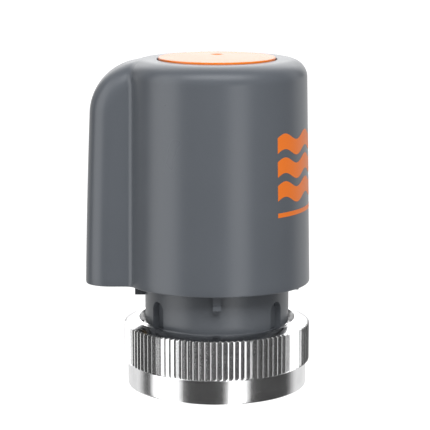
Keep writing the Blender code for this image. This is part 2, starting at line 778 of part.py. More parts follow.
def axles():
    """Fixed axles: the first spans both plates, the second ends under the wheel that passes over it."""
    low = LOWER_PLATE[0] + AXLE_FLOOR + GAP
    cylinder("gear_axle_1", AXLE_R, low, UPPER_PLATE[1] - AXLE_FLOOR - GAP, steel(), GEAR_1_AT, 16)
    cylinder("gear_axle_2", AXLE_R, low, WHEEL_2[1] + GAP, steel(), GEAR_2_AT, 16)


def gear_plate_lower():
    low, high = LOWER_PLATE
    profile = [(PLATE_R, high), (PLATE_R, low), (PLATE_BORE_R, low), (PLATE_BORE_R, high)]
    plate = turned("gear_plate_lower", profile, black_plastic(), ROUND_STEPS)
    finish_plate(plate, LOWER_PLATE, (GEAR_1_AT, GEAR_2_AT), low + AXLE_FLOOR, high + 1)
    return plate


def gear_plate_upper():
    """Plate over the gears with the cup that holds the motor and the square guide of the spindle."""
    low, high = UPPER_PLATE
    profile = [(0.0, high), (PLATE_R, high), (PLATE_R, low), (0.0, low)]
    plate = turned("gear_plate_upper", profile, black_plastic(), ROUND_STEPS, closed=False)
    cup = cylinder("motor_cup", CUP_R, low, CUP_TOP, None, MOTOR_AT, 24, CUTTERS)
    boolean(plate, cup, "UNION")
    drill(plate, CAN_R + GAP, high, CUP_TOP + 1, MOTOR_AT, 24)
    drill(plate, BEARING_HOLE_R, low - 1, high + 1, MOTOR_AT, 16)
    half = SPINDLE_SQUARE / 2 + GAP
    boolean(plate, box("square_guide", ((-half, half), (-half, half), (low - 1, CUP_TOP + 1)), None, CUTTERS))
    finish_plate(plate, UPPER_PLATE, (GEAR_1_AT,), low - 1, high - AXLE_FLOOR)
    return plate


def finish_plate(plate, span, axles_at, axle_low, axle_high):
    """Lugs for the pillars, screw holes and blind axle holes of a gear plate."""
    for angle in PILLAR_ANGLES:
        lug = cylinder("pillar_lug", PILLAR_R, span[0], span[1], None, polar(PILLAR_RADIUS, angle), 16, CUTTERS)
        boolean(plate, lug, "UNION")
        drill(plate, SCREW_BORE_R, span[0] - 1, span[1] + 1, polar(PILLAR_RADIUS, angle), 12)
    for at in axles_at:
        drill(plate, AXLE_BORE_R, axle_low, axle_high, at, 16)


def pillars_and_screws():
    """Three hollow pillars between the plates and the long screws that clamp the stack to the base."""
    for number, angle in enumerate(PILLAR_ANGLES, start=1):
        at = polar(PILLAR_RADIUS, angle)
        low = LOWER_PLATE[1] + GAP
        high = UPPER_PLATE[0] - GAP
        tube = [(PILLAR_R, high), (PILLAR_R, low), (SCREW_BORE_R, low), (SCREW_BORE_R, high)]
        turned(f"plate_pillar_{number}", tube, steel(), 16, location=(*at, 0))
        head = UPPER_PLATE[1] + GAP
        top = head + SCREW_HEAD
        profile = [(0.0, top), (SCREW_HEAD_R - GAP, top), (SCREW_HEAD_R, top - GAP), (SCREW_HEAD_R, head)]
        profile += [(SCREW_R, head), (SCREW_R, SCREW_BOTTOM + GAP), (0.0, SCREW_BOTTOM + GAP)]
        screw = turned(f"plate_screw_{number}", profile, steel(), 16, closed=False, location=(*at, 0))
        slot = box("driver_slot", ((-3, 3), (-0.25, 0.25), (top - 0.5, top + 1)), None, CUTTERS)
        slot.location.x = at[0] * MM
        slot.location.y = at[1] * MM
        boolean(screw, slot)


# ---------------------------------------------------------------- motor

def motor():
    """Small motor: can, coil, rotor, shaft and end cap, all on the motor's axis."""
    at = (*MOTOR_AT, 0)
    low, high = MOTOR_CAN
    floor = low + 0.8
    can = [(CAN_R, high), (CAN_R, low + GAP), (CAN_R - GAP, low), (1.3, low), (1.3, floor)]
    can += [(CAN_BORE_R, floor), (CAN_BORE_R, high)]
    turned("motor_can", can, steel(), 24, location=at)
    for name, (inner, outer), (bottom, top), mat in (
            ("motor_coil", COIL_R, COIL, copper()), ("motor_rotor", ROTOR_R, ROTOR, black_plastic())):
        tube = [(outer, top), (outer, bottom), (inner, bottom), (inner, top)]
        turned(name, tube, mat, 24, location=at)
    cylinder("motor_shaft", AXLE_R, *SHAFT, steel(), MOTOR_AT, 16)
    bottom, top = END_CAP
    radius = CAN_BORE_R - GAP
    cap_profile = [(0.0, top), (radius, top), (radius, bottom), (0.0, bottom)]
    cap = turned("motor_end_cap", cap_profile, white_plastic(), 24, closed=False, location=at)
    drill(cap, AXLE_BORE_R, bottom - 1, SHAFT[1] + 0.4, MOTOR_AT, 16)


# ---------------------------------------------------------------- electronics

def circuit_board():
    return box("circuit_board", BOARD, board_green())


def board_parts():
    """Parts on the board: a capacitor on the fin's side, the controller and a regulator on the other."""
    face = BOARD[0][0] - GAP
    half = 2.6
    capacitor = cylinder("capacitor", 2.4, -half, half, black_plastic(), steps=20)
    capacitor.rotation_euler = (0, math.pi / 2, 0)
    capacitor.location = Vector((face - half, 0.0, 38.0)) * MM
    back = BOARD[0][1] + GAP
    box("controller_chip", ((back, back + 1.0), (-2.5, 2.5), (33.0, 38.0)), black_plastic(), bevel=0.1)
    box("voltage_regulator", ((face - 1.6, face), (-3.0, 3.0), (26.0, 30.0)), black_plastic(), bevel=0.1)


def cable_socket():
    """Socket for the plug-in cable in the underside of the fin, with three contacts."""
    socket = box("cable_socket", SOCKET, black_plastic())
    (x0, x1), (y0, y1), (z0, z1) = SOCKET
    wall = SOCKET_WALL
    recess = box("socket_recess", ((x0 + wall, x1 - wall), (y0 + wall, y1 - wall), (z0 - 1, z1 - 2)), None, CUTTERS)
    boolean(socket, recess)
    middle = (x0 + x1) / 2
    for number in (1, 2, 3):
        at = (middle, (number - 2) * CONTACT_SPACING)
        drill(socket, CONTACT_BORE_R, z0 + 1, z1 + 1, at, 12)
        cylinder(f"contact_pin_{number}", CONTACT_R, z0 + 1.5, z1 + 2.2, brass(), at, 10)
    return socket


def leads():
    """Two motor leads from the end cap to the board."""
    start_x, start_y = MOTOR_AT
    board_x = BOARD[0][1] + GAP + LEAD_R
    for number, side in ((1, -1.0), (2, 1.0)):
        y = start_y + side * 1.4
        end_y = -3.6 + side * 0.8
        points = [
            (start_x - 2.4, y, 44.9), (start_x - 3.2, y, 45.9), (start_x - 6.0, y, 46.2),
            (-8.0, (y + end_y) / 2, 45.2), (-13.5, end_y, 43.0), (board_x + 0.5, end_y, 41.5), (board_x, end_y, 40.5),
            (board_x, end_y, 39.5)]
        wire(f"motor_lead_{number}", points, LEAD_R, rubber())


def build():
    clear_scene()
    housing_shell()
    indicator_disc()
    base_housing()
    base_seal()
    union_nut()
    retaining_ring()
    guide_bush()
    plunger_seal()
    plunger()
    cross_pin()
    overload_spring()
    spindle()
    thrust_washer()
    gear_train()
    axles()
    gear_plate_lower()
    gear_plate_upper()
    pillars_and_screws()
    motor()
    circuit_board()
    board_parts()
    cable_socket()
    leads()


build()
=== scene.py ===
"""Looks of the motorised valve actuator head: fine surfaces, materials, light and camera.

Sizes are in metres, as in the frame; MM turns the millimetres of the named values into metres.
"""

import json
import math

import bmesh
import bpy
import numpy as np
from mathutils import Matrix, Vector

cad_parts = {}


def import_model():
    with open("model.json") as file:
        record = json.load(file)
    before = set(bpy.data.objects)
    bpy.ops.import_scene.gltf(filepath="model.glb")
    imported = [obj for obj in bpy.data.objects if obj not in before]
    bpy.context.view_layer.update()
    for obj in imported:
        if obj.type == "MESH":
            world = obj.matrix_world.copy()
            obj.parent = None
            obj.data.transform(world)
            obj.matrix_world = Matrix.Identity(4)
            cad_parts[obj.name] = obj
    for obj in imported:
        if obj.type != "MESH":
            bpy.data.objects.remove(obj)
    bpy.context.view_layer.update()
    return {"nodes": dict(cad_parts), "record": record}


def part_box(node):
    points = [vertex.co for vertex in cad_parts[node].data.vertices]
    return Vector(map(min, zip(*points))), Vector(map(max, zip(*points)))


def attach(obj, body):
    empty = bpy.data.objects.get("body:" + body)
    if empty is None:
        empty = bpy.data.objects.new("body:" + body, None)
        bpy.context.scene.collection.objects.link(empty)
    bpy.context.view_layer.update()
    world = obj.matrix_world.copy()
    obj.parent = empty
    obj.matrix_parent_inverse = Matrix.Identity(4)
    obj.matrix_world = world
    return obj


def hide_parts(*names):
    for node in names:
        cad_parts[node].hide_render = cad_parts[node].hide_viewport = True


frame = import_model()

MM = 0.001

# Places from the frame
SHELL_LOW, SHELL_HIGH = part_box("housing_shell")
NUT_LOW, NUT_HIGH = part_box("union_nut")
DISC_LOW, DISC_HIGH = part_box("indicator_disc")
BASE_LOW, BASE_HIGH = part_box("base_housing")
SOCKET_LOW, SOCKET_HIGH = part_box("cable_socket")

# Shell
SHELL_TAPER = 0.79 * MM          # how much the wall's radius loses up to the shoulder
SHOULDER = 3.6 * MM
WALL = 1.6 * MM
FIN_HALF_WIDTH = 7.88 * MM       # at the bottom
FIN_SIDE_DRAFT = 0.0316          # how fast the half width shrinks upwards
FIN_EDGE = 4.0 * MM              # rounding of the fin's edges
FIN_DROP = 0.2 * MM              # how much lower the fin's top lies than the round roof
FIN_BEND = 11.0 * MM             # radius of the fin's big top bend
FIN_BEND_X = -14.85 * MM
FIN_BOW = 0.4 * MM               # how much of the fin's draft is a bow
FIN_END_X = -8.0 * MM            # the fin's body runs in to here, inside the round part
ROUND_LIFT = 0.35 * MM           # how much higher the wall ends at the front and back than at the fin
FILLET = 0.9 * MM                # hollow between the fin and the round wall
FILLET_FADE = 4.0 * MM           # the hollow shrinks over this height below the roof
RAY_CENTRE_X = -10.0 * MM        # the shell's sections are star-shaped about this point
RAY_REACH = 40 * MM              # longer than any ray inside the shell
RAY_HALVINGS = 40
SHELL_COLUMNS = 480
LOWER_EDGE = 0.3 * MM            # rounding of the wall's lower edge
INNER_EDGE = 0.2 * MM            # chamfer of the wall's lower edge on the inside
HOLE_GAP = 0.3 * MM              # between the disc and the hole in the roof
HOLE_EDGE = 0.2 * MM             # rounding of the hole's edge
WELL_WALL = 1.2 * MM             # wall of the well that the disc rises from
WELL_UP = 3.6 * MM               # how far the well's lower end lies above the disc's

# Disc
DISC_STEPS = 160
DISC_EDGE = 0.22 * MM            # rounding of the disc's upper edge
DISC_SKIRT_UP = 3.1 * MM         # how far above the stem's lower end the skirt ends
DISC_SKIRT_WALL = 1.2 * MM
DISC_ROOF = 1.5 * MM
DISC_RINGS = (2.0, 4.5, 7.0, 9.5)   # radii in millimetres that divide the flat top
STEM_R = 3.2 * MM
STEM_BORE_R = 2.56 * MM
STEM_BORE_ROOF = 1.8 * MM        # thickness left over the stem's bore
CENTRE_R = 0.02 * MM             # the lathe's innermost ring
DIMPLE_BALL_R = 2.6 * MM
DIMPLE_BALL_UP = 2.2 * MM        # how far above the disc the ball's centre lies that cuts the dimple
DIMPLE_Y = 5.2 * MM

# Neck
NECK_R = 14.8 * MM
SLOT_HALF = 1.75 * MM
SLOT_TOP = 6.7 * MM
SLOT_FLOOR = 13.5 * MM           # distance of the slots' flat floors from the spindle
SLOT_ANGLES = (-36, -144, 36, 144)
SLOT_REACH = 0.2                 # radians to each side over which a slot's floor is flat
LUG_INNER_R = 14.2 * MM
LUG_R = 16.9 * MM
LUG_STEM_R = 16.65 * MM
LUG_WIDTH = 1.66 * MM
LUG_BOTTOMS = (7.6 * MM, 6.55 * MM, 6.55 * MM, 6.8 * MM)   # for the lugs at +X, +Y, -X and -Y
LUG_STEP = 7.8 * MM
LUG_STEP_RISE = 0.15 * MM
LUG_EDGE = 0.07 * MM             # the tiny step along the lugs' edges
LUG_SUNK = 0.4 * MM              # how far the lugs reach into the plate
NECK_COLUMNS = 1440
NECK_ROWS = 60
NECK_TOP_GAP = 0.3 * MM          # the neck's first ring lies this far below the plate
NECK_FOOT = 1.0 * MM             # where the neck ends below
NECK_FOOT_EDGE = 0.35 * MM
SLOT_EDGE = 0.05 * MM            # half the width of the rounding along the slots' edges

# Rest of the base housing
PLATE_R = 16.75 * MM
PLATE_THICK = 3.0 * MM
SPIGOT_R = 12.6 * MM
SPIGOT_BORE_R = 10.6 * MM
SPIGOT_EDGE = 0.3 * MM
GROOVE_R = 11.8 * MM
GROOVE_TOP = -2.4 * MM           # groove of the retaining ring
GROOVE_LOW = -3.8 * MM
WEB_LOW = 5.0 * MM               # web between the spigot and the plunger's guide
WEB_TOP = 7.0 * MM
GUIDE_R = 7.8 * MM               # the plunger's guide
GUIDE_LOW = 0.8 * MM
GUIDE_TOP = 8.2 * MM
GUIDE_HOLE_R = 4.4 * MM
BUSH_R = 6.2 * MM                # seat of the guide's bush
BUSH_SHELF = 1.4 * MM
FIN_FLOOR_X = (-24.9 * MM, -16.4 * MM)   # the plate's tongue under the fin
FIN_FLOOR_HALF = 5.2 * MM
FIN_FLOOR_EDGE = 0.25 * MM
SOCKET_GAP = 0.3 * MM
SOCKET_CUT = 12 * MM             # height of the box that cuts the socket's opening

# Nut
KNURL_TEETH = 100
KNURL_ROOT_R = 18.55 * MM
KNURL_LOW = (-6.75 * MM, -7.06 * MM)     # where the teeth and the grooves end below
KNURL_PHASES = (-0.08, -0.04, 0.04, 0.08, 0.5)   # shares of the pitch: across a tooth, then the groove
KNURL_HEIGHTS = (0.913, 1.0, 1.0, 0.913, 0.0)    # share of the tooth's height at each of them
SKIRT_R = 18.39 * MM
RIM_R = 16.1 * MM
RIM_OUTER_R = 17.0 * MM                  # where the flat ring ends and the sloped top begins
RIM_SLOPE = 0.51
RIM_RISE = 0.23 * MM                     # how much higher the flat ring stands than in the frame
COUNTERSINK = (0.8 * MM, 1.7 * MM)       # how far the cone inside the rim runs inwards and down
THREAD_R = 14.2 * MM
THREAD_PITCH = 1.5 * MM
THREAD_DEPTH = 0.8 * MM
THREAD_V = (2.5, 0.12)                   # steepness of the flanks and share of the flat ridge
THREAD_LEAD_IN = 1.0 * MM                # chamfer at the mouth of the bore
THREAD_STOP = 1.2 * MM                   # plain bore between the thread and the lip
THREAD_FADE = 0.7 * MM                   # run-out at both ends
THREAD_STEPS = 6                         # rings in each pitch
LIP_R = 12.9 * MM                        # lip that hangs on the retaining ring
LIP_TOP = -0.3 * MM
LIP_LOW = -2.3 * MM
LIP_EDGE = 0.2 * MM
NUT_EDGE = 0.04 * MM                     # narrow chamfers of the knurl, the rim and the skirt
RIM_EDGE = 0.05 * MM
SKIRT_EDGE = 0.25 * MM                   # rounding of the skirt's lower edge
FACED = 0.65                             # faces that look up more than this are faced, not turned

# Print
MARK_HALF_ANGLE = 50                     # degrees to each side of +X
MARK_MIDDLE = 34.75 * MM
MARK_COLUMNS = 90
WAVE_COUNT = 3
WAVE_PITCH = 4.75 * MM
WAVE_THICK = 3.1 * MM
WAVE_SWING = 0.75 * MM
WAVE_PERIODS = 4
RULE_Z = 25.6 * MM
RULE_THICK = 0.9 * MM
INK_LIFT = (0.005 * MM, 0.03 * MM)       # inner and outer face of the ink above the wall

# Finishes: noise scales, a higher one is finer
GRAIN_SCALE = 9000
TEXTURE_SCALE = 1500
PLASTIC_CLOUD_SCALE = 90
LINE_SCALE = 160
METAL_CLOUD_SCALE = 260
PIT_SCALE = 4200

# Camera
CAMERA_TILT = 10.4955                    # degrees downwards
CAMERA_DISTANCE = 0.382
CAMERA_TARGET = (-0.386 * MM, 0.0, 23.125 * MM)
LENS = 155.75
SENSOR = 36.0

# Studio
BACK_WALL = 0.78                         # brightness of what mirrors see
STRIP_LEVEL = 2.0
DARK = 0.07
FRONT_PANEL = 3.2
ROOF_PANEL = 2.5
MATT_BACK = 0.25                         # brightness that matt surfaces see behind and in front
MATT_FRONT = 0.6
LIGHT_AIM_Z = 20 * MM
FLOOR_HALF = 3.0
PAPER_TONE = 0.3
PAPER_GLOW = 0.9


# ---------------------------------------------------------------- mesh helpers

def new_object(name, mesh, body):
    """An object that rides on a body."""
    obj = bpy.data.objects.new(name, mesh)
    bpy.context.scene.collection.objects.link(obj)
    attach(obj, body)
    return obj


def smooth(mesh, angle=35):
    """Smooth shading, with sharp edges where faces meet at more than this many degrees."""
    mesh.shade_smooth()
    mesh.set_sharp_from_angle(angle=math.radians(angle))


def ring_mesh(name, rings):
    """Quads between rings of as many points each; the last ring joins the first."""
    count = rings[0].shape[0]
    verts = np.concatenate(rings)
    around = np.arange(count)
    nxt = np.roll(around, -1)
    faces = []
    for k in range(len(rings)):
        a = k * count
        b = ((k + 1) % len(rings)) * count
        faces.append(np.stack([a + around, a + nxt, b + nxt, b + around], axis=1))
    faces = np.concatenate(faces)
    return outward_mesh(name, verts.tolist(), faces.tolist())


def outward_mesh(name, verts, faces):
    """A mesh of these points and faces whose normals all look outwards."""
    mesh = bpy.data.meshes.new(name)
    mesh.from_pydata(verts, [], faces)
    bm = bmesh.new()
    bm.from_mesh(mesh)
    bmesh.ops.recalc_face_normals(bm, faces=bm.faces)
    bm.to_mesh(mesh)
    bm.free()
    mesh.update()
    return mesh


def filled_mesh(name, bm):
    """A new mesh with what the bmesh holds; the bmesh is freed."""
    mesh = bpy.data.meshes.new(name)
    bm.to_mesh(mesh)
    bm.free()
    return mesh


def lathe(name, profile, steps):
    """A turned mesh from (radius, height) points."""
    angles = np.linspace(0, 2 * math.pi, steps, endpoint=False)
    rings = [
        np.stack([r * np.cos(angles), r * np.sin(angles), np.full(steps, z)], axis=1) for r, z in profile]
    return ring_mesh(name, rings)


def arc(centre, radius, start, end, count):
    """Points of an arc, from start to end degrees."""
    points = []
    for i in range(count + 1):
        a = math.radians(start + (end - start) * i / count)
        points.append((centre[0] + radius * math.cos(a), centre[1] + radius * math.sin(a)))
    return points


def box_bmesh(centre, size):
    """A bmesh with a plain box."""
    bm = bmesh.new()
    bmesh.ops.create_cube(bm, size=1.0)
    bmesh.ops.scale(bm, vec=size, verts=bm.verts)
    bmesh.ops.translate(bm, vec=centre, verts=bm.verts)
    return bm


def bevel_edges(bm, width, segments, profile=0.0):
    """Bevel every edge; profile 0.5 makes it round, 0 leaves a tiny step."""
    bmesh.ops.bevel(
        bm, geom=bm.edges[:], offset=width, offset_type="OFFSET", segments=segments, profile=profile,
        affect="EDGES")


# ---------------------------------------------------------------- material helpers

class Nodes:
    """Short calls for building a material's or a world's node tree."""

    def __init__(self, tree):
        self.tree = tree

    def add(self, kind, inputs=None, **settings):
        node = self.tree.nodes.new(kind)
        for key, value in settings.items():
            setattr(node, key, value)
        for key, value in (inputs or {}).items():
            if isinstance(value, bpy.types.NodeSocket):
                self.tree.links.new(value, node.inputs[key])
            else:
                node.inputs[key].default_value = value
        return node

    def math(self, operation, a, b=0.0):
        return self.add("ShaderNodeMath", {0: a, 1: b}, operation=operation).outputs[0]

    def noise(self, vector, scale, detail=2.0, roughness=0.5):
        return self.add(
            "ShaderNodeTexNoise", {"Vector": vector, "Scale": scale, "Detail": detail, "Roughness": roughness}
        ).outputs["Fac"]

    def remap(self, value, low, high, to_low, to_high, interpolation="SMOOTHSTEP"):
        return self.add(
            "ShaderNodeMapRange",
            {"Value": value, "From Min": low, "From Max": high, "To Min": to_low, "To Max": to_high},
            interpolation_type=interpolation).outputs[0]

    def tinted(self, color, level):
        """A colour whose brightness follows a level around 1."""
        grey_level = self.add("ShaderNodeCombineColor", {0: level, 1: level, 2: level}).outputs[0]
        inputs = {0: 1.0, 6: (*color, 1.0), 7: grey_level}
        return self.add("ShaderNodeMix", inputs, data_type="RGBA", blend_type="MULTIPLY").outputs[2]


def start_material(name):
    mat = bpy.data.materials.new(name)
    mat.use_nodes = True
    nodes = Nodes(mat.node_tree)
    shader = mat.node_tree.nodes["Principled BSDF"]
    position = nodes.add("ShaderNodeTexCoord").outputs["Object"]
    return mat, nodes, shader, position


def connect(nodes, shader, sockets):
    for name, value in sockets.items():
        if isinstance(value, bpy.types.NodeSocket):
            nodes.tree.links.new(value, shader.inputs[name])
        else:
            shader.inputs[name].default_value = value


def moulded_plastic(name, color, roughness, grain=0.02, spread=0.06, specular=0.5):
    """Moulded plastic with a fine spark-eroded grain and faint clouds of gloss and tone."""
    mat, nodes, shader, position = start_material(name)
    fine = nodes.noise(position, GRAIN_SCALE, 2.0, 0.6)
    mid = nodes.noise(position, TEXTURE_SCALE, 3.0)
    cloud = nodes.noise(position, PLASTIC_CLOUD_SCALE, 2.0)
    tone = nodes.remap(cloud, 0.15, 0.85, 1 - spread, 1 + spread, "LINEAR")
    speck = nodes.remap(fine, 0.3, 0.7, 0.97, 1.03)
    base = nodes.tinted(color, nodes.math("MULTIPLY", tone, speck))
    rough = nodes.remap(cloud, 0.15, 0.85, roughness - 0.03, roughness + 0.03, "LINEAR")
    height = nodes.math("ADD", nodes.math("MULTIPLY", fine, 0.6), nodes.math("MULTIPLY", mid, 0.4))
    bump = nodes.add("ShaderNodeBump", {"Strength": 0.35, "Distance": grain * MM, "Height": height})
    connect(nodes, shader, {
        "Base Color": base, "Roughness": rough, "Specular IOR Level": specular, "Normal": bump.outputs[0]})
    return mat


def machined_metal(name, color, roughness, lines=0.5, fineness=60.0, pits=0.0):
    """Turned metal with fine lines round the Z axis; a higher fineness puts them closer together."""
    mat, nodes, shader, position = start_material(name)
    stretched = nodes.add(
        "ShaderNodeMapping", {"Vector": position, "Scale": (1.0, 1.0, fineness)}).outputs[0]
    line = nodes.noise(stretched, LINE_SCALE, 3.0, 0.65)
    cloud = nodes.noise(position, METAL_CLOUD_SCALE, 3.0)
    tone = nodes.remap(cloud, 0.3, 0.7, 0.95, 1.04)
    base = nodes.tinted(color, tone)
    rough = nodes.math("ADD", nodes.math("MULTIPLY", line, 0.12 * lines + 0.02), roughness - 0.04)
    height = line
    if pits:
        pit = nodes.remap(nodes.noise(position, PIT_SCALE, 2.0, 0.7), 0.60, 0.72, 1.0, 0.0)
        height = nodes.math("ADD", line, nodes.math("MULTIPLY", pit, pits))
    bump = nodes.add("ShaderNodeBump", {"Strength": 0.3, "Distance": 0.01 * lines * MM, "Height": height})
    connect(nodes, shader, {
        "Base Color": base, "Metallic": 1.0, "Roughness": rough, "Normal": bump.outputs[0]})
    return mat


# ---------------------------------------------------------------- shell

BOTTOM = SHELL_LOW.z
TOP = SHELL_HIGH.z
ROUND_R = SHELL_HIGH.x
FIN_REACH = -SHELL_LOW.x
FIN_TOP = TOP - FIN_DROP
BEND_Z = FIN_TOP - FIN_BEND


def fin_reach(z):
    """How far the fin's upright edge reaches: a slightly bowed draft that runs into the top bend."""
    up = (z - BOTTOM) / (BEND_Z - BOTTOM)
    loss = FIN_REACH + FIN_BEND_X - FIN_BEND
    return FIN_REACH - (loss - FIN_BOW) * up - FIN_BOW * up ** 2


def wall_radius(z):
    """Radius of the round wall, which tapers up to the shoulder."""
    share = (z - BOTTOM) / (TOP - SHOULDER - BOTTOM)
    return ROUND_R - SHELL_TAPER * share


def rounded(a, b, radius):
    """Distance to the rounded corner between two faces, each given as a distance plus the radius."""
    return np.minimum(np.maximum(a, b), 0) + np.hypot(np.maximum(a, 0), np.maximum(b, 0)) - radius


def shell_field(x, y, z):
    """Signed distance, near enough, to the outer surface of the shell: negative inside."""
    side = np.hypot(x, y) - wall_radius(z) + SHOULDER
    roof = z - TOP + SHOULDER
    drum = rounded(side, roof, SHOULDER)

    reach = np.hypot(x, y)
    bend = np.hypot(reach + FIN_BEND_X, z - BEND_Z) - FIN_BEND
    outline = np.where(z < BEND_Z, reach - fin_reach(z), np.where(reach > -FIN_BEND_X, bend, z - FIN_TOP))
    end = np.maximum(outline, x - FIN_END_X) + FIN_EDGE
    flank = np.abs(y) - FIN_HALF_WIDTH + FIN_SIDE_DRAFT * (z - BOTTOM) + FIN_EDGE
    fin = rounded(end, flank, FIN_EDGE)

    fillet = FILLET * np.sqrt(np.clip((TOP - z) / FILLET_FADE, 0, 1)) + 1e-7
    u = np.maximum(fillet - drum, 0)
    v = np.maximum(fillet - fin, 0)
    return np.maximum(fillet, np.minimum(drum, fin)) - np.hypot(u, v)


def shell_ring(directions, z, inset):
    """Points where the rays from the ray centre cross the surface, drawn in by the inset, at a height."""
    low = np.zeros(len(directions))
    high = np.full(len(directions), RAY_REACH)
    for _ in range(RAY_HALVINGS):
        middle = (low + high) / 2
        x = RAY_CENTRE_X + directions[:, 0] * middle
        y = directions[:, 1] * middle
        inside = shell_field(x, y, np.broadcast_to(z, x.shape)) < -inset
        low = np.where(inside, middle, low)
        high = np.where(inside, high, middle)
    return (low + high) / 2


def circle_ring(directions, radius):
    """Distance along each ray from the ray centre to a circle round the spindle."""
    c = RAY_CENTRE_X
    along = -c * directions[:, 0]
    return along + np.sqrt(along ** 2 + radius ** 2 - c ** 2)


def place_ring(directions, distance, z):
    height = np.broadcast_to(z, distance.shape)
    return np.stack([RAY_CENTRE_X + directions[:, 0] * distance, directions[:, 1] * distance, height], axis=1)


def housing_shell(mat):
    """Thick shell: outside from the bottom edge to the disc's well, then back down the inside."""
    angle = np.linspace(0, 2 * math.pi, SHELL_COLUMNS, endpoint=False)
    rays = np.stack([np.cos(angle), np.sin(angle)], axis=1)
    lift = ROUND_LIFT * (rays[:, 1] * shell_ring(rays, BOTTOM, 0) / ROUND_R) ** 2
    hole = DISC_HIGH.x + HOLE_GAP
    rings = []

    def section(z, inset):
        rings.append(place_ring(rays, shell_ring(rays, z, inset), z))

    for t in (0, 30, 60):
        a = math.radians(t)
        section(BOTTOM + lift + LOWER_EDGE * (1 - math.cos(a)), LOWER_EDGE * (1 - math.sin(a)))
    for share in np.linspace(0, 1, 26):
        section((BOTTOM + lift + LOWER_EDGE) * (1 - share) + BEND_Z * share, 0)
    for t in np.linspace(1.5, 89.6, 60):
        section(BEND_Z + (TOP - BEND_Z) * math.sin(math.radians(t)), 0)
    rim = shell_ring(rays, TOP - 0.002 * MM, 0)
    mouth = circle_ring(rays, hole + HOLE_EDGE)
    for share in (0.85, 0.5, 0.2, 0.0):
        rings.append(place_ring(rays, mouth + (rim - mouth) * share, TOP))
    for t in (30, 60, 90):
        a = math.radians(t)
        radius = hole + HOLE_EDGE * (1 - math.sin(a))
        rings.append(place_ring(rays, circle_ring(rays, radius), TOP - HOLE_EDGE * (1 - math.cos(a))))
    well_bottom = DISC_LOW.z + WELL_UP
    well_r = hole + WELL_WALL
    for radius, z in ((hole, well_bottom), (well_r, well_bottom), (well_r, TOP - WALL)):
        rings.append(place_ring(rays, circle_ring(rays, radius), z))
    for t in (85, 70, 50, 30, 12):
        section(BEND_Z + (FIN_BEND - WALL) * math.sin(math.radians(t)), WALL)
    for share in np.linspace(0, 1, 8):
        section(BEND_Z * (1 - share) + (BOTTOM + lift + INNER_EDGE) * share, WALL)
    section(BOTTOM + lift, WALL - INNER_EDGE)
    mesh = ring_mesh("housing_shell_skin", rings)
    smooth(mesh, 40)
    obj = new_object("housing_shell_skin", mesh, "housing")
    obj.data.materials.append(mat)
    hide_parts("housing_shell")


# ---------------------------------------------------------------- disc

def indicator_disc(mat):
    """The rising disc: a softly rounded cap with a small round dimple, on its rim and stem."""
    top = DISC_HIGH.z
    radius = DISC_HIGH.x
    low = DISC_LOW.z + DISC_SKIRT_UP
    skirt_r = radius - DISC_SKIRT_WALL
    profile = [(STEM_BORE_R, top - STEM_BORE_ROOF), (CENTRE_R, top - STEM_BORE_ROOF), (CENTRE_R, top)]
    profile += [(r * MM, top) for r in DISC_RINGS]
    profile += arc((radius - DISC_EDGE, top - DISC_EDGE), DISC_EDGE, 90, 0, 6)
    profile += [(radius, low), (skirt_r, low), (skirt_r, top - DISC_ROOF), (STEM_R, top - DISC_ROOF)]
    profile += [(STEM_R, DISC_LOW.z), (STEM_BORE_R, DISC_LOW.z)]
    mesh = lathe("indicator_disc_skin", profile, DISC_STEPS)
    obj = new_object("indicator_disc_skin", mesh, "spindle")
    bm = bmesh.new()
    bmesh.ops.create_uvsphere(bm, u_segments=40, v_segments=24, radius=DIMPLE_BALL_R)
    bmesh.ops.translate(bm, vec=(0, DIMPLE_Y, top + DIMPLE_BALL_UP), verts=bm.verts)
    cut_away(obj, filled_mesh("dimple_tool", bm))
    smooth(obj.data, 30)
    obj.data.materials.append(mat)
    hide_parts("indicator_disc")


def cut_away(obj, tool_mesh):
    """Cut a tool mesh away and keep the result as the object's own mesh."""
    tool = bpy.data.objects.new("tool", tool_mesh)
    bpy.context.scene.collection.objects.link(tool)
    modifier = obj.modifiers.new("Cut", "BOOLEAN")
    modifier.operation = "DIFFERENCE"
    modifier.object = tool
    modifier.solver = "EXACT"
    bpy.context.view_layer.update()
    depsgraph = bpy.context.evaluated_depsgraph_get()
    result = bpy.data.meshes.new_from_object(obj.evaluated_get(depsgraph))
    obj.modifiers.clear()
    result.name = obj.name
    obj.data = result
    bpy.data.objects.remove(tool)


# ---------------------------------------------------------------- neck and base

def slot_depth(theta, z):
    """Depth of the arched, flat-floored slots in the neck, with slightly rounded edges."""
    depth = np.zeros_like(theta)
    for degrees in SLOT_ANGLES:
        offset = np.mod(theta - math.radians(degrees) + math.pi, 2 * math.pi) - math.pi
        above = np.maximum(z - (SLOT_TOP - SLOT_HALF), 0)
        distance = np.hypot(offset * NECK_R, above) - SLOT_HALF
        t = np.clip(0.5 - distance / (2 * SLOT_EDGE), 0, 1)
        floor_depth = NECK_R - SLOT_FLOOR / np.cos(np.clip(offset, -SLOT_REACH, SLOT_REACH))
        depth = np.maximum(depth, floor_depth * t * t * (3 - 2 * t))
    return depth


